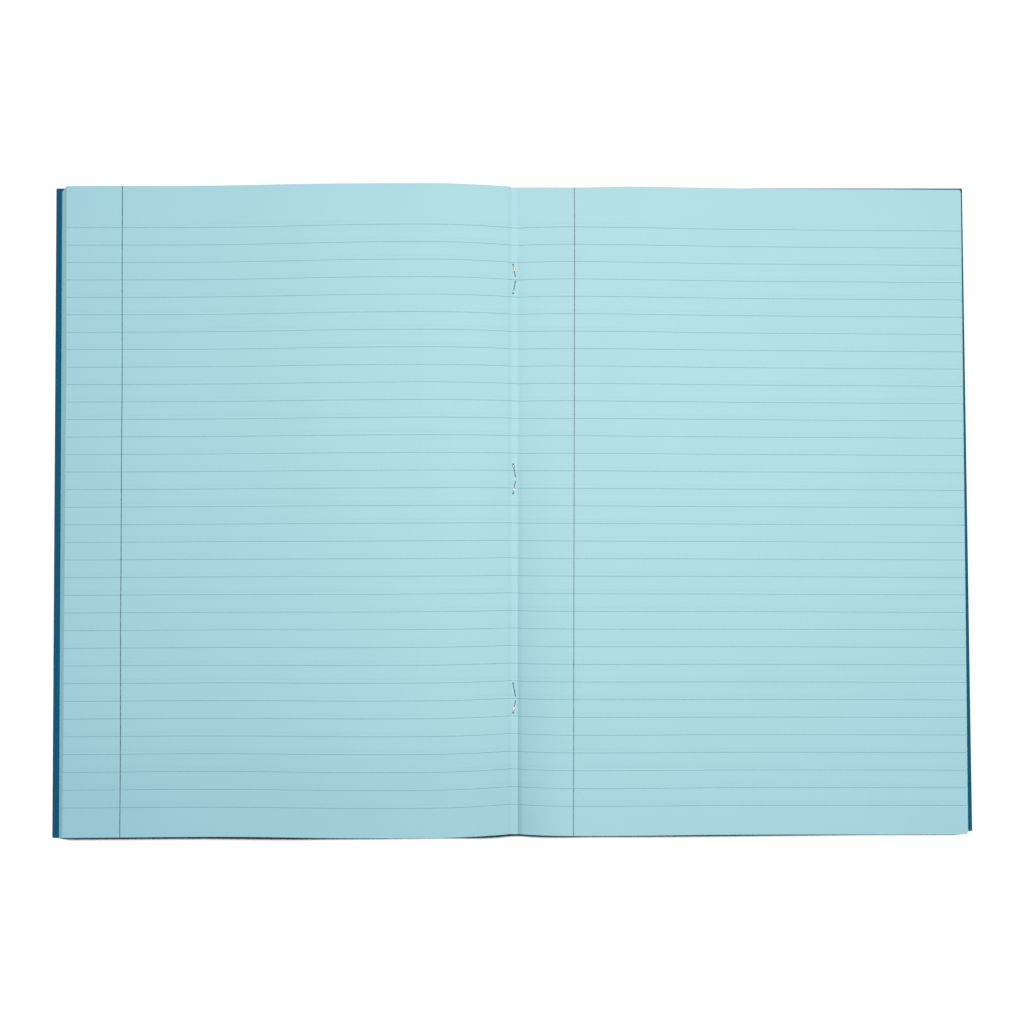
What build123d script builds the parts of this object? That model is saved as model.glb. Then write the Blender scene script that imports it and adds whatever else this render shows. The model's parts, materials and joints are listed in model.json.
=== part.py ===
from build123d import *
from math import atan, cos, pi, sin
import os

# A stapled A4 exercise book, lying open at its centre spread.
# Millimetres. The origin is under the middle of the spine, on the table.
# +X points to the right-hand page, +Y to the head of the page, +Z up.

# Page and cover sizes. Each sheet reaches less far than the one outside it.
page_height = 297.0
cover_width = 210.8
cover_fore_overhang = 1.9
cover_end_overhang = 0.9
creep_per_sheet = 0.2
sheet_count = 12

# Stock thicknesses, and the air between sheets at the stapled fold and out on the page.
card_thickness = 0.3
paper_thickness = 0.1
fold_air = 0.1
page_air = 0.2

# Flat strip at the fold that the staples hold, and the gap at each crease.
fold_half_width = 1.4
crease_gap = 0.1

# The cover drops from its stapled strip to the table in an S-shaped bend.
cover_bend_start = 3.0
cover_bend_end = 30.0

# Spring of the opened pages: the distance from the fold to the crest, the crest's rise over the crease,
# and the distance at which the page lies flat again. The left page springs more, which draws its fore edge in.
left_crest_reach = 42.0
left_crest_rise = 5.0
left_rest_reach = 160.0
left_draw_in = 1.75
right_crest_reach = 28.0
right_crest_rise = 2.4
right_rest_reach = 120.0
right_draw_in = 0.0

# Staples: round wire, drawn with enough sides to look round, with the crown outside the cover and the
# legs clinched over the centre fold. They stand a little to the left of the fold's middle, and their
# tips are cut to a chisel edge.
wire_diameter = 0.5
wire_sides = 16
wire_bend_radius = 0.5
wire_clearance = 0.05
leg_hole_clearance = 0.1
staple_length = 13.9
leg_tip_gap = 1.2
leg_tip_drift = 1.1
leg_tip_angle = 45.0
staple_line_x = -0.6
head_staple_inset = 42.5
middle_staple_rise = 13.6
tail_staple_inset = 61.8

# Levels and places that follow from the sizes above.
cover_height = page_height + 2 * cover_end_overhang
fold_pitch = paper_thickness + fold_air
page_pitch = paper_thickness + page_air
spine_underside = wire_diameter + wire_clearance
spine_top = spine_underside + card_thickness
centre_fold_top = spine_top + sheet_count * fold_pitch
crease_edge = fold_half_width + crease_gap
leg_spacing = staple_length - wire_diameter
staple_places = {
    "staple_head": page_height / 2 - head_staple_inset,
    "staple_middle": middle_staple_rise,
    "staple_tail": tail_staple_inset - page_height / 2,
}


def arc(centre, radius, first, last):
    """Circular arc about a centre, between two angles in radians."""
    angles = (first, (first + last) / 2, last)
    return ThreePointArc(*[centre + Vector(radius * cos(a), radius * sin(a)) for a in angles])


def s_bend(high, low, skin):
    """Two tangent arcs that ease down from one level run to another, raised by a skin's thickness."""
    run = low.X - high.X
    turn = 2 * atan((high.Y - low.Y) / run)
    radius = run / 2 / sin(turn)
    over = arc(high - Vector(0, radius), radius + skin, pi / 2, pi / 2 - turn)
    under = arc(low + Vector(0, radius), radius - skin, 1.5 * pi - turn, 1.5 * pi)
    return [over, under]


def long_strip(edge, thickness, height):
    """A strip of a given height along the spine, whose two sides are drawn from the fold outwards."""
    lower = edge(0)
    upper = edge(thickness)
    ends = [Line(lower[0] @ 0, upper[0] @ 0), Line(lower[-1] @ 1, upper[-1] @ 1)]
    face = make_face(Plane.XZ * (Curve() + [*lower, *upper, *ends]))
    return extrude(face, amount=height / 2, both=True)


def leaf(sheet, crest_reach, crest_rise, rest_reach, draw_in):
    """Right-hand leaf of a sheet: up from its crease to the crest, down to rest, and flat to the fore edge."""
    share = sheet / sheet_count
    crease_z = spine_top + sheet * fold_pitch - paper_thickness
    rest_z = card_thickness + sheet * page_pitch - paper_thickness
    fore_edge = cover_width - cover_fore_overhang - (sheet - 1) * creep_per_sheet - draw_in * share
    run = crest_reach - crease_edge
    climb = 2 * atan(crest_rise * share / run)
    radius = run / sin(climb)
    crest = Vector(crest_reach, crease_z + crest_rise * share)
    rest = Vector(rest_reach, rest_z)

    def edge(skin):
        """One side of the paper, at a height above its underside."""
        rising = arc(crest - Vector(0, radius), radius + skin, pi / 2 + climb, pi / 2)
        falling = s_bend(crest, rest, skin)
        return [rising, *falling, Line(falling[-1] @ 1, Vector(fore_edge, rest_z + skin))]

    return long_strip(edge, paper_thickness, page_height)


def cover_panel(first_x):
    """Right-hand cover panel, from first_x near the fold, down its bend and out to the fore edge."""
    shoulder = Vector(cover_bend_start, spine_underside)
    foot = Vector(cover_bend_end, 0)

    def edge(skin):
        """One side of the card, at a height above its underside."""
        bend = s_bend(shoulder, foot, skin)
        strip = Line(Vector(first_x, spine_underside + skin), bend[0] @ 0)
        return [strip, *bend, Line(bend[-1] @ 1, Vector(cover_width, skin))]

    return long_strip(edge, card_thickness, cover_height)


def leg_holes():
    """Square pins at every staple leg, to punch the strip that the staples go through."""
    side = wire_diameter + 2 * leg_hole_clearance
    depth = centre_fold_top + wire_diameter
    legs = [y + way * leg_spacing / 2 for y in staple_places.values() for way in (-1, 1)]
    return [Pos(staple_line_x, y, depth / 2) * Box(side, side, depth) for y in legs]


def fold_strip(sheet):
    """Stapled strip of one sheet, between its two creases."""
    middle_z = spine_top + sheet * fold_pitch - paper_thickness / 2
    return Pos(0, 0, middle_z) * Box(2 * fold_half_width, page_height, paper_thickness) - leg_holes()


def chisel_cut(tip, inward):
    """Block that slants a leg's tip back from its lower edge, given the way in along the leg."""
    edge = tip - Vector(0, 0, wire_diameter / 2)
    size = 4 * wire_diameter
    slope = Rotation(0, -leg_tip_angle, 0) * Pos(-size / 2, 0, 0) * Box(size, size, size)
    return Plane(edge, x_dir=inward, z_dir=(0, 0, 1)) * slope


def staple(y):
    """One staple: crown under the cover, legs up through the fold and bent in over the centre sheet."""
    crown_z = wire_diameter / 2
    clinch_z = centre_fold_top + wire_clearance + wire_diameter / 2
    half = leg_spacing / 2
    half_gap = (leg_tip_gap + wire_diameter) / 2
    route = [
        (leg_tip_drift, half_gap, clinch_z),
        (0, half, clinch_z),
        (0, half, crown_z),
        (0, -half, crown_z),
        (0, -half, clinch_z),
        (leg_tip_drift, -half_gap, clinch_z),
    ]
    wire = FilletPolyline(*route, radius=wire_bend_radius)
    section = Plane(wire @ 0, z_dir=wire % 0) * RegularPolygon(wire_diameter / 2, wire_sides)
    bent = sweep(section, path=wire)
    for tip, inward in ((wire @ 0, wire % 0), (wire @ 1, -(wire % 1))):
        bent -= chisel_cut(tip, inward)
    return Pos(staple_line_x, y, 0) * bent


def left_side(shape):
    """The same piece on the other side of the fold."""
    return mirror(shape, about=Plane.YZ)


def book():
    """Every piece of the book by name, with sheet 1 next to the cover and the last sheet at the centre."""
    left_spring = (left_crest_reach, left_crest_rise, left_rest_reach, left_draw_in)
    right_spring = (right_crest_reach, right_crest_rise, right_rest_reach, right_draw_in)
    pieces = {
        "front_cover": left_side(cover_panel(crease_edge)),
        "back_cover": cover_panel(-fold_half_width) - leg_holes(),
    }
    for sheet in range(1, sheet_count + 1):
        name = f"sheet_{sheet:02d}"
        pieces[f"{name}_left_leaf"] = left_side(leaf(sheet, *left_spring))
        pieces[f"{name}_fold"] = fold_strip(sheet)
        pieces[f"{name}_right_leaf"] = leaf(sheet, *right_spring)
    for name, y in staple_places.items():
        pieces[name] = staple(y)
    return pieces


os.makedirs("parts", exist_ok=True)
for name, piece in book().items():
    export_step(piece, f"parts/{name}.step")
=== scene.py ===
"""Looks of a stapled exercise book that lies open at its centre spread.

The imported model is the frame: each sheet is a left leaf, a stapled fold and a right leaf, the card cover is
two panels, and three staples hold the fold. The leaves, the centre fold, the covers and the staples are
remade here as finer meshes in the same places, and every surface gets its finish.

Sizes are in millimetres. They become metres where a mesh, light or camera is placed.
"""

import json
import logging
import math
from dataclasses import dataclass
from enum import Enum
from typing import ClassVar

import bpy
import numpy as np
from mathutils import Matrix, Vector

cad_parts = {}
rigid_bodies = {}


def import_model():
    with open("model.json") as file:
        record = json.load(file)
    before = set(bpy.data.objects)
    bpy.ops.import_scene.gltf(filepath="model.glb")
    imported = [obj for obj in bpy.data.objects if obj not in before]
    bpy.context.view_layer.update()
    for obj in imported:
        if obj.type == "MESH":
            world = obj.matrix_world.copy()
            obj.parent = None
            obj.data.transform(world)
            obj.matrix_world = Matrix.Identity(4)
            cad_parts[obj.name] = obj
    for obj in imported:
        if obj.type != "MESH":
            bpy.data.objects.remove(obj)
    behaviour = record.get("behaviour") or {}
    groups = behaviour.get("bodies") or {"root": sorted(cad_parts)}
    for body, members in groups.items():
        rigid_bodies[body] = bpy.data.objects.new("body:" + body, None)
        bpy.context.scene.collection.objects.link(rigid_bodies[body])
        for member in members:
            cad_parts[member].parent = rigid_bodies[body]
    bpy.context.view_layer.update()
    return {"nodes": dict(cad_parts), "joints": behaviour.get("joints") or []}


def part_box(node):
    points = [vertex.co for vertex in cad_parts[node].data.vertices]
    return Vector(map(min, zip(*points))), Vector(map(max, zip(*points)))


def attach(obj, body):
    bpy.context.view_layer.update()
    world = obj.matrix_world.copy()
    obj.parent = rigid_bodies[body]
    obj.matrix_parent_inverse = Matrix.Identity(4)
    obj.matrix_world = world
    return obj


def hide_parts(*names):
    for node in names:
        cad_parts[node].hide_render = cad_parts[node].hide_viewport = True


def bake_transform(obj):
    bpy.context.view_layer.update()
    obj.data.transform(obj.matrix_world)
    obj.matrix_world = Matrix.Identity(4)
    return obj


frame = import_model()

MM = 0.001
LOG = logging.getLogger("exercise_book")
Array = np.ndarray
Socket = bpy.types.NodeSocket
Material = bpy.types.Material
Colour = tuple[float, float, float, float]
Triple = tuple[float, float, float]
Span = tuple[float, float]


class Side(Enum):
    """The half of the open book that a leaf or a cover panel lies on."""

    LEFT = -1
    RIGHT = 1


class Surface(Enum):
    """The surfaces of a sheet, in the order of its materials."""

    UPPER = 0
    LOWER = 1
    EDGE = 2
    RIM = 3


class Page(Enum):
    """The two pages of a leaf: the right-hand one when open, and the one behind it."""

    RECTO = "recto"
    VERSO = "verso"


@dataclass(frozen=True)
class BookSizes:
    """Sizes that every piece shares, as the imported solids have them."""

    sheets: int = 12
    page_height: float = 297.0
    cover_width: float = 210.8
    cover_height: float = 298.8
    card: float = 0.3
    paper: float = 0.1
    fold_pitch: float = 0.2
    page_pitch: float = 0.3
    crease_edge: float = 1.5
    spine_underside: float = 0.55
    cover_bend_start: float = 3.0
    cover_bend_end: float = 30.0
    hinge_bend_end: float = 9.0
    page_corner: float = 0.35
    cover_corner: float = 0.4
    # Width of the darker fore-edge rim of the lower left leaves: painted shade where each leaf lies under the
    # next.
    shaded_rim: float = 0.5

    @property
    def spine_top(self) -> float:
        """Level of the cover's upper face at the staples."""
        return self.spine_underside + self.card


BOOK = BookSizes()
STAPLES = ("staple_head", "staple_middle", "staple_tail")
PAGE_MAP = "page"
PAGE_MAP_SIZE = (BOOK.cover_width, BOOK.page_height, 1.0)


@dataclass(frozen=True)
class GridSteps:
    """Largest steps between the grid lines of the sheets."""

    hinge_bend: float = 0.5
    page_arch: float = 4.0
    page_flat: float = 8.0
    page_rim_shade: float = 1.0
    page_rows: float = 8.5
    cover_bend: float = 2.5
    cover_flat: float = 9.0
    cover_rows: float = 12.5
    fold_columns: float = 0.2
    fold_rows: float = 6.0


STEPS = GridSteps()


@dataclass(frozen=True)
class Spring:
    """How the opened leaves of one side spring up from the fold and lie down again.

    Attributes:
        crest_reach: Distance from the fold to the crest.
        crest_rise: Rise of the centre sheet's crest over its crease.
        rest_reach: Distance from the fold at which the leaf lies flat again.
        outline_turn: Turn of the leaves' cut outline, in radians.
        crease_shift: Shift of that outline towards the head at the crease.
        outline_shift: Its further shift out on the page.
        print_turn: Turn of the printed lines, in radians.
        print_shift: Shift of the printed lines towards the head.
        lean: How far the fore edge leans out, at the head and at the tail.
        stack_slip: How far the lowest leaf has slipped towards the tail, out on the page.
        tail_over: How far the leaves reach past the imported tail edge.
        tail_flare: How far the centre leaf's fore edge flares out at its tail corner.
        wave: Height of the centre leaf's slow waves near the fore edge.
        dip: How far the centre leaf dips beside the fold, at the head and at the tail.
        dip_reach: Distance from the fold at which the dip has gone.
        head_droop: Share of the rise that is gone at the head end.
        droop_reach: Distances from the fold between which that droop fades.
    """

    crest_reach: float
    crest_rise: float
    rest_reach: float
    outline_turn: float
    crease_shift: float
    outline_shift: float
    print_turn: float
    print_shift: float
    lean: Span
    stack_slip: float
    tail_over: float
    tail_flare: float
    wave: float
    dip: Span
    dip_reach: float
    head_droop: float
    droop_reach: Span


SPRINGS = {
    Side.LEFT: Spring(
        crest_reach=42.0,
        crest_rise=5.0,
        rest_reach=160.0,
        outline_turn=0.00503,
        crease_shift=0.45,
        outline_shift=0.22,
        print_turn=0.00503,
        print_shift=0.11,
        lean=(0.0, -0.25),
        stack_slip=1.4,
        tail_over=0.3,
        tail_flare=0.87,
        wave=0.2,
        dip=(0.14, 0.1),
        dip_reach=4.0,
        head_droop=0.25,
        droop_reach=(60.0, 120.0),
    ),
    Side.RIGHT: Spring(
        crest_reach=28.0,
        crest_rise=2.4,
        rest_reach=120.0,
        outline_turn=-0.0027,
        crease_shift=0.05,
        outline_shift=0.0,
        print_turn=-0.00429,
        print_shift=-0.11,
        lean=(-0.3, 0.75),
        stack_slip=0.0,
        tail_over=0.0,
        tail_flare=0.0,
        wave=0.2,
        dip=(0.05, 0.35),
        dip_reach=6.5,
        head_droop=0.85,
        droop_reach=(25.0, 60.0),
    ),
}

# Distances from the fold between which the outline's skew, the lower leaves' slip and the waves set in.
SKEW_REACH = (2.0, 40.0)
SLIP_REACH = (30.0, 110.0)
WAVE_REACH = (40.0, 200.0)

# Lengths of a long and a short wave along the spine, and the short one's height as a share of the other's.
WAVE_LENGTHS = (190.0, 83.0)
SHORT_WAVE_SHARE = 0.5

# The long wave's phase at the fold, and the distance from the fold over which it goes on by a radian.
WAVE_START = 0.7
WAVE_SLANT = 90.0

# The flare of the tail corner starts this far from the fore edge, and grows towards the tail with this power.
FLARE_REACH = 40.0
FLARE_POWER = 3


@dataclass(frozen=True)
class Ruling:
    """Printed lines of a page, measured from its head, its fold and its fore edge."""

    first: float = 18.8
    pitch: float = 8.019
    lines: int = 34
    feint_half_width: float = 0.11
    margin_half_width: float = 0.18
    recto_margin: float = 27.16
    verso_margin_inset: float = 25.45


RULING = Ruling()


def smooth_step(value: Array, low: float, high: float) -> Array:
    """Eases from 0 at low to 1 at high.

    Args:
        value: Where to evaluate the step.
        low: Start of the step.
        high: End of the step.

    Returns:
        The eased share at each value.
    """
    share = np.clip((value - low) / (high - low), 0.0, 1.0)
    return share * share * (3.0 - 2.0 * share)


def between(ends: Span, share: Array) -> Array:
    """Goes evenly from the first end, at a share of 0, to the second, at a share of 1."""
    return ends[0] + (ends[1] - ends[0]) * share


def s_bend(reach: Array, high: Span, low: Span) -> Array:
    """Height along two tangent arcs that ease down from one level run to another.

    Args:
        reach: Distances from the fold.
        high: Distance and height at which the bend starts.
        low: Distance and height at which it ends.

    Returns:
        The height at each distance, level outside the bend.
    """
    run = low[0] - high[0]
    turn = 2.0 * math.atan((high[1] - low[1]) / run)
    radius = run / 2.0 / math.sin(turn)
    from_high = np.clip(reach - high[0], 0.0, run / 2.0)
    from_low = np.clip(low[0] - reach, 0.0, run / 2.0)
    over = high[1] - radius + np.sqrt(radius**2 - from_high**2)
    under = low[1] + radius - np.sqrt(radius**2 - from_low**2)
    return np.where(reach < (high[0] + low[0]) / 2.0, over, under)


def spaced(*stretches: Triple) -> Array:
    """Grid lines over stretches that follow each other.

    Args:
        stretches: Start, end and largest step of each stretch.

    Returns:
        The places of the grid lines, in rising order.
    """
    lines = [np.linspace(a, b, math.ceil((b - a) / step) + 1) for a, b, step in stretches]
    return np.unique(np.round(np.concatenate(lines), 6))


# Values between which most of a noise texture lies, and the detail of the finer ones.
NOISE_SPAN = (0.3, 0.7)
FINE_DETAIL = 3.0


class Graph:
    """Adds and links the nodes of one node tree."""

    def __init__(self, tree: bpy.types.NodeTree) -> None:
        """Keeps the tree that the nodes go into."""
        self.tree = tree

    def add(self, kind: str, **settings: object) -> bpy.types.Node:
        """Adds a node.

        Args:
            kind: Blender's name of the node type.
            settings: Properties to set on the node.

        Returns:
            The new node.
        """
        node = self.tree.nodes.new(kind)
        for key, value in settings.items():
            setattr(node, key, value)
        return node

    def feed(self, socket: Socket, value: object) -> None:
        """Links another node's output to an input, or sets the input's value."""
        if isinstance(value, Socket):
            self.tree.links.new(value, socket)
        else:
            socket.default_value = value

    def math(self, operation: str, *values: object) -> Socket:
        """Adds a Math node and returns its result."""
        node = self.add("ShaderNodeMath", operation=operation)
        for socket, value in zip(node.inputs, values):
            self.feed(socket, value)
        return node.outputs[0]

    def remap(
        self, value: object, low: object, high: object, first: object, last: object
    ) -> Socket:
        """Eases from one value to another between two limits.

        Args:
            value: What is compared with the limits.
            low: Limit at which the result is first.
            high: Limit at which the result is last.
            first: Result up to the low limit.
            last: Result from the high limit on.

        Returns:
            The eased value's socket.
        """
        node = self.add("ShaderNodeMapRange", interpolation_type="SMOOTHSTEP")
        names = ("Value", "From Min", "From Max", "To Min", "To Max")
        for name, given in zip(names, (value, low, high, first, last)):
            self.feed(node.inputs[name], given)
        return node.outputs["Result"]

    def noise(self, vector: object, scale: float, detail: float = 2.0) -> Socket:
        """Adds a Noise Texture and returns its value."""
        node = self.add("ShaderNodeTexNoise")
        self.feed(node.inputs["Vector"], vector)
        node.inputs["Scale"].default_value = scale
        node.inputs["Detail"].default_value = detail
        return node.outputs[0]

    def stretch(self, vector: object, factors: Triple) -> Socket:
        """Multiplies a vector by factors along its axes."""
        node = self.add("ShaderNodeVectorMath", operation="MULTIPLY")
        self.feed(node.inputs[0], vector)
        node.inputs[1].default_value = factors
        return node.outputs[0]

    def object_place(self) -> Socket:
        """Adds Object coordinates in millimetres."""
        return self.stretch(self.add("ShaderNodeTexCoord").outputs["Object"], (1.0 / MM,) * 3)

    def blend(self, share: object, first: object, second: object, mode: str = "MIX") -> Socket:
        """Mixes two colours.

        Args:
            share: How much of the second colour is used.
            first: Colour at a share of 0.
            second: Colour at a share of 1.
            mode: Blender's blend mode.

        Returns:
            The mixed colour's socket.
        """
        node = self.add("ShaderNodeMix", data_type="RGBA", blend_type=mode)
        self.feed(node.inputs[0], share)
        self.feed(node.inputs[6], first)
        self.feed(node.inputs[7], second)
        return node.outputs[2]

    def group(self, tree: bpy.types.NodeTree, **values: object) -> bpy.types.Node:
        """Places a node group.

        Args:
            tree: The group.
            values: Values or sockets for its inputs, with underscores for spaces.

        Returns:
            The group's node.
        """
        node = self.add("ShaderNodeGroup", node_tree=tree)
        for name, value in values.items():
            self.feed(node.inputs[name.replace("_", " ")], value)
        return node


class Effects:
    """Node groups that more than one finish uses, each built once.

    Attributes:
        FIBRES: Scales of the two layers of fibres, along the ruled lines and across them.
        CLOUD_SCALE: Scale of the paper's wide clouds.
        STROKE_EDGE: Where a printed line starts to fade and where it is gone, in half widths.
        FOLD_SHADE_RAMPS: Start, end, first and last share of three ramps of painted shade beside the fold:
            how it gathers at the crease, how that fades, and how the thin shade over the page fades.
        TAIL_POWER: Power with which that painted shade grows from head to tail.
    """

    FIBRES: tuple[Triple, Triple] = ((0.6, 3.2, 1.0), (2.6, 0.7, 1.0))
    CLOUD_SCALE: float = 0.035
    STROKE_EDGE: Span = (0.6, 1.4)
    FOLD_SHADE_RAMPS: tuple[tuple[float, ...], ...] = (
        (1.4, 2.1, 0.4, 1.0),
        (2.3, 4.6, 0.62, 0.0),
        (3.0, 24.0, 0.38, 0.0),
    )
    TAIL_POWER: float = 2.0

    def __init__(self) -> None:
        """Builds the groups."""
        self.fibre = self.build_fibre()
        self.ruling = self.build_ruling()
        self.stroke = self.build_stroke()
        self.fold_shading = self.build_fold_shading()

    @staticmethod
    def start(
        name: str, inputs: tuple[str, ...], outputs: tuple[str, ...]
    ) -> tuple[Graph, bpy.types.Node, bpy.types.Node]:
        """Makes an empty group. Its sockets are numbers, apart from one that is named Vector.

        Args:
            name: Name of the group.
            inputs: Names of its inputs.
            outputs: Names of its outputs.

        Returns:
            The group's graph, its input node and its output node.
        """
        tree = bpy.data.node_groups.new(name, "ShaderNodeTree")
        for way, labels in (("INPUT", inputs), ("OUTPUT", outputs)):
            for label in labels:
                kind = "NodeSocketVector" if label == "Vector" else "NodeSocketFloat"
                tree.interface.new_socket(label, in_out=way, socket_type=kind)
        graph = Graph(tree)
        return graph, graph.add("NodeGroupInput"), graph.add("NodeGroupOutput")

    def build_fibre(self) -> bpy.types.NodeTree:
        """Pulp fibres: a tone that wanders about 1, and the surface's fine height.

        Returns:
            The group. Its vector is in millimetres.
        """
        graph, given, made = self.start("pulp_fibre", ("Vector", "Mottle", "Cloud"), ("Tone", "Height"))
        place = given.outputs["Vector"]
        layers = [graph.noise(graph.stretch(place, scales), 1.0, FINE_DETAIL) for scales in self.FIBRES]
        fibres = graph.math("ADD", *layers)
        cloud = graph.noise(place, self.CLOUD_SCALE)
        mottle = graph.math("MULTIPLY", graph.math("SUBTRACT", fibres, 1.0), given.outputs["Mottle"])
        drift = graph.math("MULTIPLY", graph.math("SUBTRACT", cloud, 0.5), given.outputs["Cloud"])
        tone = graph.math("ADD", graph.math("ADD", mottle, drift), 1.0)
        graph.feed(made.inputs["Tone"], tone)
        graph.feed(made.inputs["Height"], fibres)
        return graph.tree

    def build_stroke(self) -> bpy.types.NodeTree:
        """A soft-edged printed line: its mask by the distance from its middle.

        Returns:
            The group. Its distances are in millimetres.
        """
        graph, given, made = self.start("printed_stroke", ("Distance", "Half Width"), ("Mask",))
        half = given.outputs["Half Width"]
        edge = [graph.math("MULTIPLY", half, share) for share in self.STROKE_EDGE]
        away = graph.math("ABSOLUTE", given.outputs["Distance"])
        graph.feed(made.inputs["Mask"], graph.remap(away, *edge, 1.0, 0.0))
        return graph.tree

    def build_ruling(self) -> bpy.types.NodeTree:
        """Evenly ruled lines: the distance from the nearest of them.

        Returns:
            The group. Its distances are in millimetres.
        """
        graph, given, made = self.start("even_ruling", ("Drop", "First"), ("Distance",))
        below_first = graph.math("SUBTRACT", given.outputs["Drop"], given.outputs["First"])
        counted = graph.math("ROUND", graph.math("DIVIDE", below_first, RULING.pitch))
        kept = graph.math("MAXIMUM", graph.math("MINIMUM", counted, RULING.lines - 1.0), 0.0)
        distance = graph.math("SUBTRACT", below_first, graph.math("MULTIPLY", kept, RULING.pitch))
        graph.feed(made.inputs["Distance"], distance)
        return graph.tree

    def build_fold_shading(self) -> bpy.types.NodeTree:
        """Painted shade beside the fold: darkest next to the crease, and fading over the page and towards its
        head.

        Returns:
            The group. Its distances are in millimetres.
        """
        graph, given, made = self.start("painted_fold_shade", ("Reach", "Drop", "Tail", "Head"), ("Share",))
        reach = given.outputs["Reach"]
        fallen = graph.math("DIVIDE", given.outputs["Drop"], BOOK.page_height)
        fallen = graph.math("POWER", fallen, self.TAIL_POWER)
        more = graph.math("SUBTRACT", given.outputs["Tail"], given.outputs["Head"])
        depth = graph.math("ADD", graph.math("MULTIPLY", fallen, more), given.outputs["Head"])
        gathered, faded, over = (graph.remap(reach, *ramp) for ramp in self.FOLD_SHADE_RAMPS)
        beside = graph.math("MULTIPLY", gathered, faded)
        graph.feed(made.inputs["Share"], graph.math("MULTIPLY", graph.math("ADD", beside, over), depth))
        return graph.tree


class Finish:
    """A material with its node graph and its Principled shader."""

    def __init__(self, name: str, specular: float) -> None:
        """Makes the material.

        Args:
            name: Name of the material.
            specular: Strength of its plain reflections.
        """
        self.material = bpy.data.materials.new(name)
        self.material.use_nodes = True
        self.graph = Graph(self.material.node_tree)
        self.shader = self.material.node_tree.nodes["Principled BSDF"]
        self.shader.inputs["Specular IOR Level"].default_value = specular

    def tone(self, colour: object, tone: object) -> Socket:
        """Multiplies a colour by a tone."""
        grey = self.graph.add("ShaderNodeCombineColor")
        for socket in grey.inputs[:3]:
            self.graph.feed(socket, tone)
        return self.graph.blend(1.0, colour, grey.outputs[0], "MULTIPLY")

    def paint(self, colour: object, roughness: object, height: object, depth: float) -> Material:
        """Feeds the shader.

        Args:
            colour: The surface's colour.
            roughness: Its roughness.
            height: Its fine height, from 0 to about 2.
            depth: Depth of that height, in millimetres.

        Returns:
            The finished material.
        """
        bump = self.graph.add("ShaderNodeBump")
        bump.inputs["Distance"].default_value = depth * MM
        self.graph.feed(bump.inputs["Height"], height)
        self.graph.feed(self.shader.inputs["Normal"], bump.outputs["Normal"])
        self.graph.feed(self.shader.inputs["Base Color"], colour)
        self.graph.feed(self.shader.inputs["Roughness"], roughness)
        return self.material


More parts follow.
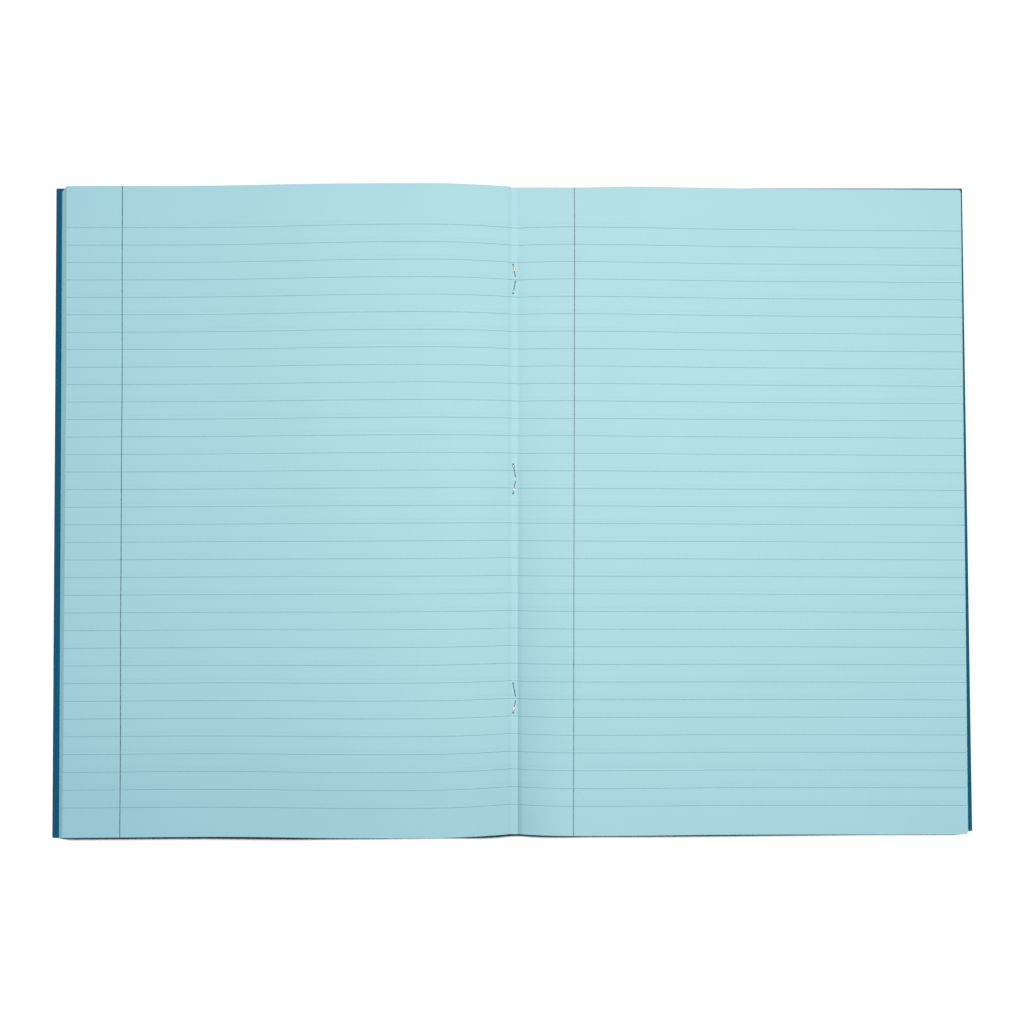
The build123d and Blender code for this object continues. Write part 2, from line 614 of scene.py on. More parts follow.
@dataclass(frozen=True)
class PaperFinish:
    """Pale blue writing paper with feint ruling and a margin line.

    Attributes:
        recto_fold_shade: Painted shade beside the fold of a right-hand page, at the tail and at the head.
        verso_fold_shade: The same for a left-hand page.
        tail_darkening: How far the page blends towards the darkening colour all along its tail end.
        tail_darkening_drops: Distances from the head between which that darkening sets in.
        show_through: Strength of the lines that show through from the other side.
        ink_density: Least and greatest density of the ink.
        plain_mottle: Strength of the fibres and the clouds of unprinted paper.
    """

    tint: Colour = (0.381, 0.657, 0.724, 1.0)
    # The fold strip is painted a little lighter than the pages: painted light on the raised strip.
    lit_fold_tint: Colour = (0.392, 0.685, 0.765, 1.0)
    # Colour towards which the painted shade beside the fold, and the darker tail end, are blended.
    darkening: Colour = (0.06, 0.25, 0.33, 1.0)
    feint: Colour = (0.165, 0.34, 0.40, 1.0)
    recto_margin: Colour = (0.11, 0.135, 0.24, 1.0)
    verso_margin: Colour = (0.035, 0.055, 0.08, 1.0)
    edge: Colour = (0.44, 0.71, 0.77, 1.0)
    # Colour of that rim: painted shade where each lower leaf lies under the next.
    rim: Colour = (0.278, 0.518, 0.568, 1.0)
    recto_fold_shade: Span = (0.38, 0.0)
    verso_fold_shade: Span = (0.03, 0.05)
    tail_darkening: float = 0.07
    tail_darkening_drops: Span = (235.0, 285.0)
    show_through: float = 0.07
    show_through_shift: float = 1.7
    show_through_spread: float = 2.0
    ink_scale: float = 0.9
    ink_density: Span = (0.72, 1.0)
    mottle: float = 0.05
    cloud: float = 0.03
    plain_mottle: float = 0.1
    roughness: float = 0.9
    specular: float = 0.12
    depth: float = 0.006

    def ruled(
        self,
        name: str,
        tint: Colour,
        margins: list[tuple[float, Colour]],
        darkening: Span,
        tail_darkening: float,
        effects: Effects,
    ) -> Material:
        """Makes a printed page.

        Args:
            name: Name of the material.
            tint: Colour of the paper.
            margins: Distance from the fold and colour of each margin line, none for the fold itself.
            darkening: How dark the painted shade beside the fold is, at the tail and at the head.
            tail_darkening: How much darker its tail end is all along.
            effects: The shared node groups.

        Returns:
            The material, which reads the piece's page map.
        """
        finish = Finish(name, self.specular)
        graph = finish.graph
        place = graph.stretch(graph.add("ShaderNodeUVMap", uv_map=PAGE_MAP).outputs[0], PAGE_MAP_SIZE)
        parts = graph.add("ShaderNodeSeparateXYZ")
        graph.feed(parts.inputs[0], place)
        drop = graph.math("SUBTRACT", BOOK.page_height, parts.outputs["Y"])
        fibre = graph.group(effects.fibre, Vector=place, Mottle=self.mottle, Cloud=self.cloud)
        density = graph.remap(graph.noise(place, self.ink_scale, FINE_DETAIL), *NOISE_SPAN, *self.ink_density)
        ghost = graph.group(effects.ruling, Drop=drop, First=RULING.first - self.show_through_shift)
        ghost_width = self.show_through_spread * RULING.feint_half_width
        feint = graph.group(effects.ruling, Drop=drop, First=RULING.first)
        lines = [
            (ghost.outputs[0], ghost_width, self.show_through, self.feint),
            (feint.outputs[0], RULING.feint_half_width, density, self.feint),
        ]
        for margin, ink in margins:
            away = graph.math("SUBTRACT", parts.outputs["X"], margin)
            lines.append((away, RULING.margin_half_width, density, ink))
        colour = finish.tone(tint, fibre.outputs["Tone"])
        for away, half_width, strength, ink in lines:
            stroke = graph.group(effects.stroke, Distance=away, Half_Width=half_width)
            colour = graph.blend(graph.math("MULTIPLY", stroke.outputs[0], strength), colour, ink)
        # Painted shade beside the fold, darkest at the crease and towards the tail.
        if any(darkening):
            tail, head = darkening
            fold_shade = graph.group(effects.fold_shading, Reach=parts.outputs["X"], Drop=drop, Tail=tail, Head=head)
            colour = graph.blend(fold_shade.outputs[0], colour, self.darkening)
        # The tail end is blended a little darker all along.
        if tail_darkening:
            colour = graph.blend(graph.remap(drop, *self.tail_darkening_drops, 0.0, tail_darkening), colour, self.darkening)
        return finish.paint(colour, self.roughness, fibre.outputs["Height"], self.depth)

    def plain(self, name: str, colour: Colour, effects: Effects) -> Material:
        """Makes unprinted paper, such as cut edges.

        Args:
            name: Name of the material.
            colour: Its colour.
            effects: The shared node groups.

        Returns:
            The material, which reads Object coordinates.
        """
        finish = Finish(name, self.specular)
        graph = finish.graph
        place = graph.object_place()
        mottle = self.plain_mottle
        fibre = graph.group(effects.fibre, Vector=place, Mottle=mottle, Cloud=mottle)
        toned = finish.tone(colour, fibre.outputs["Tone"])
        return finish.paint(toned, self.roughness, fibre.outputs["Height"], self.depth)


@dataclass(frozen=True)
class CardFinish:
    """Dark blue dyed card, a little paler where it is cut or rubbed.

    Attributes:
        fleck_span: Noise values between which a fleck sets in.
        roughness: Least and greatest roughness.
    """

    dye: Colour = (0.004, 0.10, 0.19, 1.0)
    cut: Colour = (0.02, 0.14, 0.23, 1.0)
    fleck: Colour = (0.015, 0.16, 0.26, 1.0)
    fleck_scale: float = 1.6
    fleck_detail: float = 4.0
    fleck_span: Span = (0.62, 0.74)
    fleck_share: float = 0.5
    mottle: float = 0.35
    cloud: float = 0.12
    rub_scale: float = 0.12
    roughness: Span = (0.54, 0.70)
    specular: float = 0.1
    depth: float = 0.012

    def card(self, name: str, colour: Colour, effects: Effects) -> Material:
        """Makes a card surface.

        Args:
            name: Name of the material.
            colour: Its dye.
            effects: The shared node groups.

        Returns:
            The material, which reads Object coordinates.
        """
        finish = Finish(name, self.specular)
        graph = finish.graph
        place = graph.object_place()
        fibre = graph.group(effects.fibre, Vector=place, Mottle=self.mottle, Cloud=self.cloud)
        flecks = graph.noise(place, self.fleck_scale, self.fleck_detail)
        flecks = graph.remap(flecks, *self.fleck_span, 0.0, self.fleck_share)
        toned = finish.tone(graph.blend(flecks, colour, self.fleck), fibre.outputs["Tone"])
        rough = graph.remap(graph.noise(place, self.rub_scale, FINE_DETAIL), *NOISE_SPAN, *self.roughness)
        return finish.paint(toned, rough, fibre.outputs["Height"], self.depth)


@dataclass(frozen=True)
class WireFinish:
    """Bright drawn wire with fine lengthwise scratches.

    Attributes:
        scratches: Scales of the scratches along the three axes.
        scratch_span: Noise values between which their tone changes.
        roughness: Least and greatest roughness.
    """

    steel: Colour = (0.62, 0.61, 0.60, 1.0)
    scratches: Triple = (14.0, 0.6, 14.0)
    scratch_span: Span = (0.25, 0.75)
    scratch_tones: Span = (0.82, 1.05)
    dull_scale: float = 1.3
    roughness: Span = (0.14, 0.28)
    specular: float = 0.5
    depth: float = 0.002

    def wire(self, name: str) -> Material:
        """Makes the staple wire, which reads Object coordinates."""
        finish = Finish(name, self.specular)
        graph = finish.graph
        finish.shader.inputs["Metallic"].default_value = 1.0
        place = graph.object_place()
        drawn = graph.noise(graph.stretch(place, self.scratches), 1.0, FINE_DETAIL)
        dull = graph.remap(graph.noise(place, self.dull_scale), *NOISE_SPAN, *self.roughness)
        tone = graph.remap(drawn, *self.scratch_span, *self.scratch_tones)
        return finish.paint(finish.tone(self.steel, tone), dull, drawn, self.depth)


@dataclass
class Finishes:
    """Every material of the book."""

    pages: dict[Page, Material]
    fold: Material
    paper_edge: Material
    paper_rim: Material
    card: Material
    card_edge: Material
    wire: Material

    @classmethod
    def make(cls) -> "Finishes":
        """Builds the materials."""
        effects = Effects()
        paper = PaperFinish()
        card = CardFinish()
        tint = paper.tint
        recto = [(RULING.recto_margin, paper.recto_margin)]
        verso_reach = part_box("sheet_12_left_leaf")[0].x / -MM - RULING.verso_margin_inset
        verso = [(verso_reach, paper.verso_margin)]
        return cls(
            pages={
                Page.RECTO: paper.ruled("page_recto", tint, recto, paper.recto_fold_shade, 0.0, effects),
                Page.VERSO: paper.ruled("page_verso", tint, verso, paper.verso_fold_shade, paper.tail_darkening, effects),
            },
            fold=paper.ruled("page_fold", paper.lit_fold_tint, [], (0.0, 0.0), paper.tail_darkening, effects),
            paper_edge=paper.plain("page_edge", paper.edge, effects),
            paper_rim=paper.plain("page_rim_shade", paper.rim, effects),
            card=card.card("cover_card", card.dye, effects),
            card_edge=card.card("cover_edge", card.cut, effects),
            wire=WireFinish().wire("staple_wire"),
        )


def clear_selection(kind: str) -> None:
    """Deselects the active mesh and sets what is selected in it: vertices or faces."""
    bpy.ops.object.mode_set(mode="EDIT")
    bpy.ops.mesh.select_mode(type=kind)
    bpy.ops.mesh.select_all(action="DESELECT")
    bpy.ops.object.mode_set(mode="OBJECT")


@dataclass(kw_only=True)
class Sheet:
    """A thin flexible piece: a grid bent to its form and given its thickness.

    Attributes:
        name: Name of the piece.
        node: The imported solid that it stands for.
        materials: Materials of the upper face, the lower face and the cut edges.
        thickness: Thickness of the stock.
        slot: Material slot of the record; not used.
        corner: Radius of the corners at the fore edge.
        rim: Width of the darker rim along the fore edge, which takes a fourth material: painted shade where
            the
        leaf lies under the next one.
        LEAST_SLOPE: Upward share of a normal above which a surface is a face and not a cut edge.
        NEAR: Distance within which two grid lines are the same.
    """

    CORNER_STEPS: ClassVar[int] = 4
    LEAST_SLOPE: ClassVar[float] = 0.5
    SMOOTH_DEGREES: ClassVar[float] = 35.0
    NEAR: ClassVar[float] = 0.001

    name: str
    node: str
    materials: list[Material]
    thickness: float = BOOK.paper
    slot: str = "page_paper"
    corner: float = 0.0
    rim: float = 0.0

    def columns(self) -> Array:
        """Places of the grid lines across the page, in rising order."""
        raise NotImplementedError

    def rows(self) -> Array:
        """Places of the grid lines along the spine, in rising order."""
        raise NotImplementedError

    def bent(self, x: Array, y: Array) -> Array:
        """Points of the lower face for places on the flat sheet."""
        raise NotImplementedError

    def printed(self, x: Array, y: Array) -> Array:
        """Places on the printed page for places on the flat sheet, from the fold and the tail."""
        return np.column_stack([np.abs(x), y + BOOK.page_height / 2.0])

    def build(self) -> bpy.types.Object:
        """Makes the finished piece.

        Returns:
            The new object, with its place in its mesh.
        """
        piece = self.add_grid()
        if self.corner:
            self.round_corners(piece)
        self.thicken(piece)
        self.dress(piece)
        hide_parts(self.node)
        return piece

    def add_grid(self) -> bpy.types.Object:
        """Adds the grid, maps it to the page and bends it."""
        xs = self.columns()
        ys = self.rows()
        bpy.ops.object.select_all(action="DESELECT")
        bpy.ops.mesh.primitive_grid_add(x_subdivisions=len(xs) - 1, y_subdivisions=len(ys) - 1, size=2.0)
        piece = bpy.context.object
        piece.name = self.name
        piece.data.name = self.name
        square = np.zeros(len(piece.data.vertices) * 3)
        piece.data.vertices.foreach_get("co", square)
        square = (square.reshape(-1, 3) + 1.0) / 2.0
        x = xs[np.rint(square[:, 0] * (len(xs) - 1)).astype(int)]
        y = ys[np.rint(square[:, 1] * (len(ys) - 1)).astype(int)]
        corners = np.zeros(len(piece.data.loops), int)
        piece.data.loops.foreach_get("vertex_index", corners)
        page = piece.data.uv_layers[0]
        page.name = PAGE_MAP
        places = self.printed(x, y) / PAGE_MAP_SIZE[:2]
        page.uv.foreach_set("vector", places[corners].astype(np.float32).ravel())
        inner = np.abs(x)[corners.reshape(-1, 4)].min(axis=1)
        outside = inner > np.abs(x).max() - self.rim - self.NEAR
        surfaces = np.where(outside, Surface.RIM.value, Surface.UPPER.value)
        piece.data.polygons.foreach_set("material_index", surfaces.astype(np.int32))
        piece.data.vertices.foreach_set("co", (self.bent(x, y) * MM).ravel())
        piece.data.update()
        return piece

    def round_corners(self, piece: bpy.types.Object) -> None:
        """Rounds the two corners at the fore edge."""
        mesh = piece.data
        reach = np.array([abs(v.co.x) for v in mesh.vertices])
        along = np.array([v.co.y for v in mesh.vertices])
        outer = np.argsort(-reach)[: len(self.rows())]
        ends = {int(outer[np.argmax(along[outer])]), int(outer[np.argmin(along[outer])])}
        clear_selection("VERT")
        for index in ends:
            mesh.vertices[index].select = True
        bpy.ops.object.mode_set(mode="EDIT")
        bpy.ops.mesh.bevel(offset=self.corner * MM, segments=self.CORNER_STEPS, affect="VERTICES")
        bpy.ops.object.mode_set(mode="OBJECT")

    def thicken(self, piece: bpy.types.Object) -> None:
        """Gives the sheet its thickness, upwards from its lower face."""
        bpy.ops.object.modifier_add(type="SOLIDIFY")
        solid = piece.modifiers[-1]
        solid.thickness = self.thickness * MM
        solid.offset = 1.0
        bpy.ops.object.modifier_apply(modifier=solid.name)

    def dress(self, piece: bpy.types.Object) -> None:
        """Gives the two faces and the cut edges their materials."""
        for material in self.materials:
            piece.data.materials.append(material)
        up = np.array([p.normal.z for p in piece.data.polygons])
        marked = np.array([p.material_index for p in piece.data.polygons])
        faces = np.where(up > 0.0, Surface.UPPER.value, Surface.LOWER.value)
        faces = np.where(marked == Surface.RIM.value, Surface.RIM.value, faces)
        indices = np.where(np.abs(up) > self.LEAST_SLOPE, faces, Surface.EDGE.value)
        piece.data.polygons.foreach_set("material_index", indices.astype(np.int32))
        bpy.ops.object.shade_smooth_by_angle(angle=math.radians(self.SMOOTH_DEGREES))


@dataclass
class Leaf(Sheet):
    """One leaf of a folded sheet, from its crease to its fore edge.

    Attributes:
        side: Half of the book that it lies on.
        sheet: Number of its sheet, counted from the cover.
    """

    side: Side
    sheet: int

    @property
    def spring(self) -> Spring:
        """The spring of the leaf's side."""
        return SPRINGS[self.side]

    @property
    def share(self) -> float:
        """How much of the centre sheet's spring this leaf has."""
        return self.sheet / BOOK.sheets

    @property
    def crease_level(self) -> float:
        """Level of the lower face at the crease."""
        return BOOK.spine_top + self.sheet * BOOK.fold_pitch - BOOK.paper

    @property
    def fore_edge(self) -> float:
        """Distance of the fore edge from the fold, as packed."""
        low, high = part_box(self.node)
        return max(-low.x, high.x) / MM

    def columns(self) -> Array:
        """Close grid lines beside the crease, wider ones further out."""
        rim_start = self.fore_edge - self.rim
        reach = spaced(
            (BOOK.crease_edge, BOOK.hinge_bend_end, STEPS.hinge_bend),
            (BOOK.hinge_bend_end, self.spring.rest_reach, STEPS.page_arch),
            (self.spring.rest_reach, rim_start, STEPS.page_flat),
            (rim_start, self.fore_edge, STEPS.page_rim_shade),
        )
        return np.sort(self.side.value * reach)

    def rows(self) -> Array:
        """Even grid lines from tail to head."""
        half = BOOK.page_height / 2.0
        return spaced((-half - self.spring.tail_over, half, STEPS.page_rows))

    def height(self, reach: Array) -> Array:
        """Height of the lower face: up from the crease to the crest, down to rest, and flat.

        Args:
            reach: Distances from the fold.

        Returns:
            The height at each distance.
        """
        spring = self.spring
        crease = self.crease_level
        rest = BOOK.card + self.sheet * BOOK.page_pitch - BOOK.paper
        rise = spring.crest_rise * self.share
        run = spring.crest_reach - BOOK.crease_edge
        radius = run / math.sin(2.0 * math.atan(rise / run))
        to_crest = np.clip(spring.crest_reach - reach, 0.0, run)
        climbing = crease + rise - radius + np.sqrt(radius**2 - to_crest**2)
        falling = s_bend(reach, (spring.crest_reach, crease + rise), (spring.rest_reach, rest))
        return np.where(reach < spring.crest_reach, climbing, falling)

    def bent(self, x: Array, y: Array) -> Array:
        """Points of the lower face, with the leaf's own turn, lean, droop, waves and dip."""
        spring = self.spring
        half = BOOK.page_height / 2.0
        reach = np.abs(x)
        tail = 0.5 - y / BOOK.page_height
        lean = between(spring.lean, tail) * reach / self.fore_edge
        corner = tail**FLARE_POWER * smooth_step(reach, self.fore_edge - FLARE_REACH, self.fore_edge)
        lean += spring.tail_flare * self.share * corner
        aside = smooth_step(reach, *SKEW_REACH) * (self.side.value * lean - spring.outline_turn * y)
        height = self.height(reach)
        droop = spring.head_droop * smooth_step(y, half - RULING.first, half)
        risen = np.maximum(height - self.crease_level, 0.0)
        height -= droop * risen * (1.0 - smooth_step(reach, *spring.droop_reach))
        long, short = (2.0 * math.pi * y / length for length in WAVE_LENGTHS)
        waves = np.sin(long + WAVE_START + reach / WAVE_SLANT) + SHORT_WAVE_SHARE * np.sin(short)
        lift = spring.wave * self.share * smooth_step(reach, *WAVE_REACH) * waves
        fading = 1.0 - smooth_step(reach, BOOK.crease_edge, spring.dip_reach)
        dip = between(spring.dip, tail) * self.share * fading
        along = y + spring.outline_turn * x + self.shift(reach)
        return np.column_stack([x + aside, along, height + lift - dip])

    def shift(self, reach: Array) -> Array:
        """Shift of the cut outline towards the head, by the distance from the fold."""
        spring = self.spring
        slip = spring.stack_slip * (1.0 - self.share) * smooth_step(reach, *SLIP_REACH)
        return spring.crease_shift + spring.outline_shift * smooth_step(reach, *SKEW_REACH) - slip

    def printed(self, x: Array, y: Array) -> Array:
        """Places on the printed page, which isn't quite square to the cut outline."""
        spring = self.spring
        skew = spring.print_turn - spring.outline_turn
        shift = spring.print_shift - self.shift(np.abs(x))
        return super().printed(x + skew * y, y - skew * x - shift)


@dataclass
class Cover(Sheet):
    """A card panel of the cover, from the spine to the fore edge.

    Attributes:
        side: Half of the book that it lies under.
        turn: Turn of its fore edge, in radians.
        stretch: How far its fore edge stands out.
        lift: Shift of its fore edge towards the head.
    """

    side: Side
    turn: float
    stretch: float
    lift: float

    def columns(self) -> Array:
        """Close grid lines at the spine and its bend, wide ones further out."""
        low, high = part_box(self.node)
        inner = max(low.x, -high.x) / MM
        reach = spaced(
            (inner, BOOK.hinge_bend_end, STEPS.hinge_bend),
            (BOOK.hinge_bend_end, BOOK.cover_bend_end, STEPS.cover_bend),
            (BOOK.cover_bend_end, BOOK.cover_width, STEPS.cover_flat),
        )
        return np.sort(self.side.value * reach)

    def rows(self) -> Array:
        """Even grid lines from tail to head."""
        return spaced((-BOOK.cover_height / 2.0, BOOK.cover_height / 2.0, STEPS.cover_rows))

    def bent(self, x: Array, y: Array) -> Array:
        """Points of the lower face, a little askew to the pages towards the fore edge."""
        reach = np.abs(x)
        height = s_bend(reach, (BOOK.cover_bend_start, BOOK.spine_underside), (BOOK.cover_bend_end, 0.0))
        out = smooth_step(reach, BOOK.cover_bend_end, BOOK.cover_width)
        aside = self.side.value * self.stretch - self.turn * y
        return np.column_stack([x + out * aside, y + self.lift * reach / BOOK.cover_width, height])


@dataclass
class CentreFold(Sheet):
    """The centre sheet's stapled strip, whose sides turn down a little into the creases.

    Attributes:
        turn_down: How far its sides turn down.
        half_width: Half of its width, which all but closes the creases.
        shift: Shift of its outline towards the head.
        wire: Thickness of the staple wire.
        hole: Half of the width of a leg's hole.
    """

    turn_down: float = 0.06
    half_width: float = 1.47
    shift: float = 0.1
    wire: float = 0.5
    hole: float = 0.4

    def legs(self) -> Array:
        """Places of the staple legs on the flat strip, six rows of two coordinates."""
        found = []
        for node in STAPLES:
            low, high = (np.array(corner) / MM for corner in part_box(node))
            half = self.wire / 2.0
            for end in (low[1] + half, high[1] - half):
                found.append((low[0] + half, end - self.shift))
        return np.array(found)

    def columns(self) -> Array:
        """Grid lines across the strip, with two beside the legs."""
        line = self.legs()[0, 0]
        return spaced(
            (-self.half_width, line - self.hole, STEPS.fold_columns),
            (line + self.hole, self.half_width, STEPS.fold_columns),
        )

    def rows(self) -> Array:
        """Grid lines from tail to head, with two beside each leg."""
        ends = [-BOOK.page_height / 2.0]
        for place in sorted(self.legs()[:, 1]):
            ends += [place - self.hole, place + self.hole]
        ends.append(BOOK.page_height / 2.0)
        return spaced(*[(low, high, STEPS.fold_rows) for low, high in zip(ends[:-1], ends[1:])])

    def add_grid(self) -> bpy.types.Object:
        """Adds the bent grid and punches the holes for the staple legs."""
        piece = super().add_grid()
        legs = self.legs() + (0.0, self.shift)
        clear_selection("FACE")
        for polygon in piece.data.polygons:
            away = np.abs(legs - np.array(polygon.center[:2]) / MM).max(axis=1)
            polygon.select = bool(away.min() < self.hole)
        bpy.ops.object.mode_set(mode="EDIT")
        bpy.ops.mesh.delete(type="FACE")
        bpy.ops.object.mode_set(mode="OBJECT")
        return piece

    def bent(self, x: Array, y: Array) -> Array:
        """Points of the lower face."""
        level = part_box(self.node)[0].z / MM
        return np.column_stack([x, y + self.shift, level - self.turn_down * (x / self.half_width) ** 2])

    def printed(self, x: Array, y: Array) -> Array:
        """Places on the printed page, whose lines keep their places under the shifted outline."""
        return super().printed(x, y + self.shift)


@dataclass
class Staple:
    """A staple of round wire."""

    MERGE_DISTANCE: ClassVar[float] = 0.002
    SMOOTH_DEGREES: ClassVar[float] = 40.0

    node: str

    def build(self, wire: Material) -> bpy.types.Object:
        """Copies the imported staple, closes its mesh and smooths it.

        Args:
            wire: The wire's material.

        Returns:
            The new object.
        """
        bpy.ops.object.select_all(action="DESELECT")
        packed = frame["nodes"][self.node]
        piece = bpy.data.objects.new(f"{self.node}_wire", packed.data.copy())
        bpy.context.scene.collection.objects.link(piece)
        piece.data.name = piece.name
        piece.data.materials.clear()
        piece.data.materials.append(wire)
        bpy.context.view_layer.objects.active = piece
        piece.select_set(True)
        bpy.ops.object.mode_set(mode="EDIT")
        bpy.ops.mesh.select_all(action="SELECT")
        bpy.ops.mesh.remove_doubles(threshold=self.MERGE_DISTANCE * MM)
        bpy.ops.mesh.normals_make_consistent(inside=False)
        bpy.ops.object.mode_set(mode="OBJECT")
        bpy.ops.object.shade_smooth_by_angle(angle=math.radians(self.SMOOTH_DEGREES))
        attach(piece, "spine")
        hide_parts(self.node)
        return piece


class Book:
    """The whole exercise book: cover, sheets and staples."""

    def __init__(self, finishes: Finishes) -> None:
        """Keeps the materials and reads which body carries which."""
        self.finishes = finishes
        self.carriers = {joint["child"]: joint["parent"] for joint in frame["joints"]}

    def build(self) -> None:
        """Builds and dresses every piece."""
        self.build_covers()
        for sheet in range(1, BOOK.sheets + 1):
            for side in Side:
                self.build_leaf(side, sheet)
        self.build_folds()
        for node in STAPLES:
            self.report(Staple(node).build(self.finishes.wire))

    def build_leaf(self, side: Side, sheet: int) -> None:
        """Builds one leaf in its bent resting form."""
        body = f"{side.name.lower()}_leaf_{sheet:02d}"
        upper, lower = (Page.VERSO, Page.RECTO) if side is Side.LEFT else (Page.RECTO, Page.VERSO)
        pages = self.finishes.pages
        leaf = Leaf(
            name=f"{body}_paper",
            node=f"sheet_{sheet:02d}_{side.name.lower()}_leaf",
            materials=[pages[upper], pages[lower], self.finishes.paper_edge, self.finishes.paper_rim],
            corner=BOOK.page_corner,
            # The lower left leaves get a darker rim at the fore edge: painted shade where each lies under the
            # next.
            rim=BOOK.shaded_rim if side is Side.LEFT and sheet < BOOK.sheets else 0.0,
            side=side,
            sheet=sheet,
        )
        piece = leaf.build()
        self.bend(piece)
        self.report(piece)

    def build_covers(self) -> None:
        """Builds the two panels of the cover."""
        card = [self.finishes.card, self.finishes.card, self.finishes.card_edge]
        askew = {
            Side.LEFT: {"turn": 0.0044, "stretch": 0.88, "lift": -1.0},
            Side.RIGHT: {"turn": 0.0052, "stretch": -0.3, "lift": 0.7},
        }
        for side, body in ((Side.LEFT, "front_cover"), (Side.RIGHT, "back_cover")):
            panel = Cover(
                name=f"{body}_card",
                node=body,
                materials=card,
                thickness=BOOK.card,
                slot="cover_card",
                corner=BOOK.cover_corner,
                side=side,
                **askew[side],
            )
            piece = panel.build()
            if side is Side.LEFT:
                self.bend(piece)
            else:
                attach(piece, "spine")
            self.report(piece)

    def build_folds(self) -> None:
        """Builds the centre sheet's fold and gives the folds under it their paper."""
        paper = [self.finishes.fold, self.finishes.fold, self.finishes.paper_edge]
        node = f"sheet_{BOOK.sheets:02d}_fold"
        piece = CentreFold(name="centre_fold_paper", node=node, materials=paper).build()
        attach(piece, "spine")
        self.report(piece)
        for sheet in range(1, BOOK.sheets):
            packed = frame["nodes"][f"sheet_{sheet:02d}_fold"]
            packed.data.materials.clear()
            packed.data.materials.append(self.finishes.paper_edge)

    def bend(self, piece: bpy.types.Object) -> None:
        """Bakes a piece's place into its mesh.

        Args:
            piece: The leaf or cover panel.
        """
        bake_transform(piece)

    @staticmethod
    def report(piece: bpy.types.Object) -> None:
        """Logs a finished piece."""
        LOG.info("%s: %d faces", piece.name, len(piece.data.polygons))


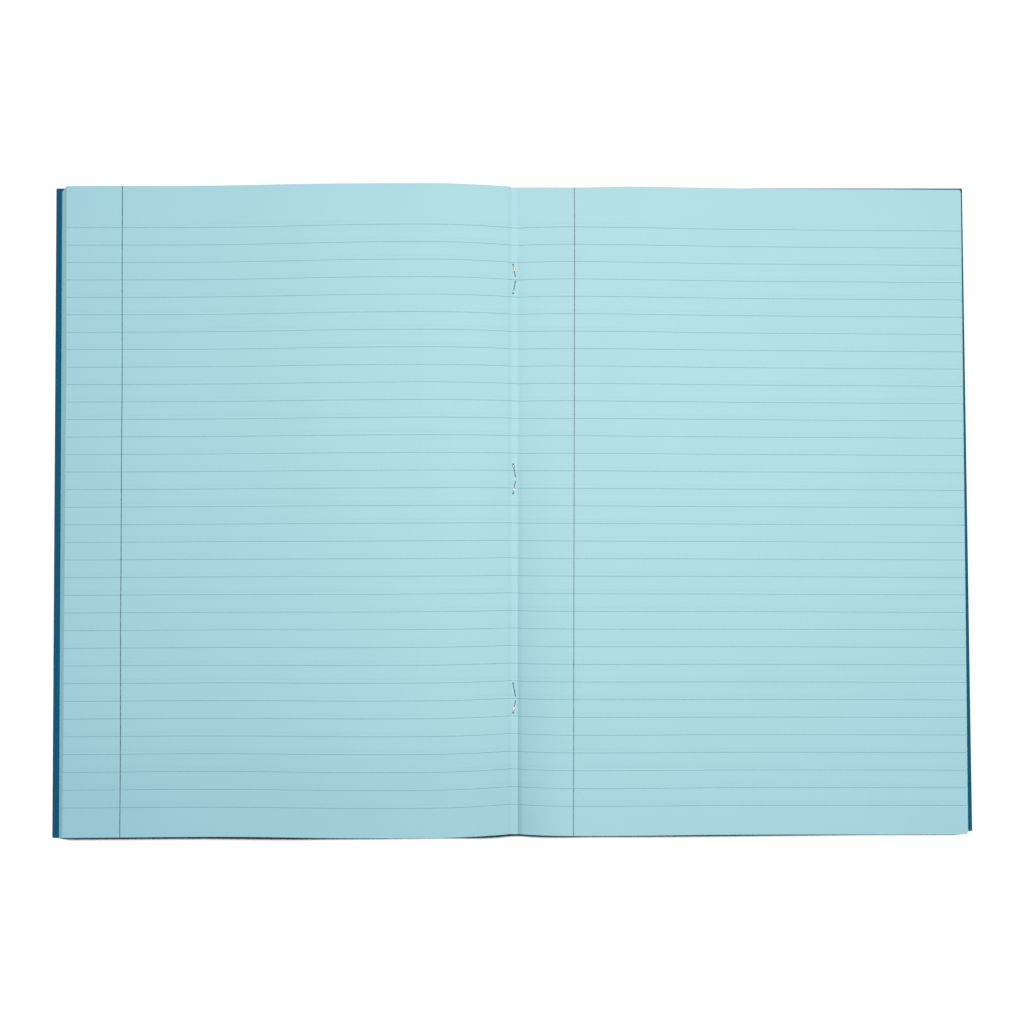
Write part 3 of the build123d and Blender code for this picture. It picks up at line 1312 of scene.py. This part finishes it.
@dataclass(frozen=True)
class Studio:
    """White table, one soft lamp, a bluish sky, and the camera above the book.

    The table glows white, apart from a thin line beside the book, where the book hides much of its view:
    there its glow dims into a painted contact shadow.

    Attributes:
        contact_reach: How far the table looks out for the book.
        contact_lean: Direction in which it looks.
        contact_limits: Open shares of the view at which the glow is out and at which it is full, which set
            how dark and how wide the painted shadow is.
        first_fill: What is added to the open share at the left end of the table, which narrows the painted
            shadow.
        fills: Start and end of each step along X, and what that step adds to the fill, which changes the
            painted shadow's width along the book.
        backdrop: Colour of the sky where the camera sees it.
    """

    floor_size: float = 6000.0
    floor_level: float = -0.06
    floor_white: Colour = (0.04, 0.04, 0.04, 1.0)
    floor_glow: Colour = (1.0, 1.0, 1.0, 1.0)
    floor_roughness: float = 0.9
    floor_specular: float = 0.1
    contact_reach: float = 7.0
    contact_lean: Triple = (0.0, 0.6, 0.8)
    contact_samples: int = 64
    contact_limits: Span = (0.585, 0.65)
    first_fill: float = 0.045
    fills: tuple[Triple, ...] = ((-90.0, -50.0, -0.045), (-10.0, 40.0, 0.06), (90.0, 180.0, 0.06))
    sky: Colour = (0.32, 0.71, 1.0, 1.0)
    sky_strength: float = 0.62
    backdrop: Colour = (1.0, 1.0, 1.0, 1.0)
    lamp_place: Triple = (88.0, 120.0, 700.0)
    lamp_size: float = 260.0
    lamp_power: float = 5.1
    lamp_colour: Triple = (1.0, 0.69, 0.47)
    camera_place: Triple = (-5.08, -9.71, 400.0)
    camera_turn: Triple = (0.02041, -0.00993, 0.00006)
    camera_lens: float = 30.39
    camera_sensor: float = 36.0
    camera_near: float = 10.0

    def build(self) -> None:
        """Sets the floor, the sky, the lamp and the camera."""
        self.add_floor()
        self.add_sky()
        self.add_lamp()
        self.add_camera()

    def add_floor(self) -> None:
        """Adds the table as a wide sheet that glows white, with a painted contact shadow close beside the
        book.
        """
        bpy.ops.object.select_all(action="DESELECT")
        bpy.ops.mesh.primitive_plane_add(size=self.floor_size * MM)
        floor = bpy.context.object
        floor.name = "white_table"
        for vertex in floor.data.vertices:
            vertex.co.z = self.floor_level * MM
        finish = Finish("white_table", self.floor_specular)
        graph = finish.graph
        inputs = finish.shader.inputs
        graph.feed(inputs["Base Color"], self.floor_white)
        graph.feed(inputs["Emission Color"], self.floor_glow)
        graph.feed(inputs["Roughness"], self.floor_roughness)
        view = graph.add("ShaderNodeAmbientOcclusion", samples=self.contact_samples)
        graph.feed(view.inputs["Distance"], self.contact_reach * MM)
        lean = graph.add("ShaderNodeCombineXYZ")
        for socket, value in zip(lean.inputs, self.contact_lean):
            graph.feed(socket, value)
        graph.feed(view.inputs["Normal"], lean.outputs[0])
        across = graph.add("ShaderNodeSeparateXYZ")
        graph.feed(across.inputs[0], graph.object_place())
        opened = graph.math("ADD", view.outputs["AO"], self.first_fill)
        for start, end, more in self.fills:
            opened = graph.math("ADD", opened, graph.remap(across.outputs["X"], start, end, 0.0, more))
        # The glow dims where the book hides the view: the painted contact shadow.
        graph.feed(inputs["Emission Strength"], graph.remap(opened, *self.contact_limits, 0.0, 1.0))
        floor.data.materials.append(finish.material)

    def add_sky(self) -> None:
        """Lights the scene softly from all round, with a white backdrop where it is seen."""
        world = bpy.data.worlds.new("studio_sky")
        world.use_nodes = True
        graph = Graph(world.node_tree)
        light = world.node_tree.nodes["Background"]
        light.inputs["Color"].default_value = self.sky
        light.inputs["Strength"].default_value = self.sky_strength
        backdrop = graph.add("ShaderNodeBackground")
        backdrop.inputs["Color"].default_value = self.backdrop
        mixed = graph.add("ShaderNodeMixShader")
        graph.feed(mixed.inputs[0], graph.add("ShaderNodeLightPath").outputs["Is Camera Ray"])
        graph.feed(mixed.inputs[1], light.outputs[0])
        graph.feed(mixed.inputs[2], backdrop.outputs[0])
        graph.feed(world.node_tree.nodes["World Output"].inputs["Surface"], mixed.outputs[0])
        bpy.context.scene.world = world
        bpy.context.scene.view_settings.view_transform = "Standard"

    def add_lamp(self) -> None:
        """Adds a square soft light that faces the book."""
        place = Vector(self.lamp_place)
        bpy.ops.object.light_add(type="AREA", location=place * MM)
        lamp = bpy.context.object
        lamp.name = "key_light"
        lamp.rotation_euler = (-place).to_track_quat("-Z", "Y").to_euler()
        lamp.data.size = self.lamp_size * MM
        lamp.data.energy = self.lamp_power
        lamp.data.color = self.lamp_colour

    def add_camera(self) -> None:
        """Adds the camera, which looks almost straight down."""
        bpy.ops.object.camera_add(location=Vector(self.camera_place) * MM, rotation=self.camera_turn)
        camera = bpy.context.object
        camera.name = "overhead_camera"
        camera.data.lens = self.camera_lens
        camera.data.sensor_width = self.camera_sensor
        camera.data.clip_start = self.camera_near * MM
        bpy.context.scene.camera = camera


def main() -> None:
    """Builds the book and its studio."""
    logging.basicConfig(level=logging.INFO, format="%(message)s")
    Book(Finishes.make()).build()
    Studio().build()


if __name__ == "__main__":
    main()
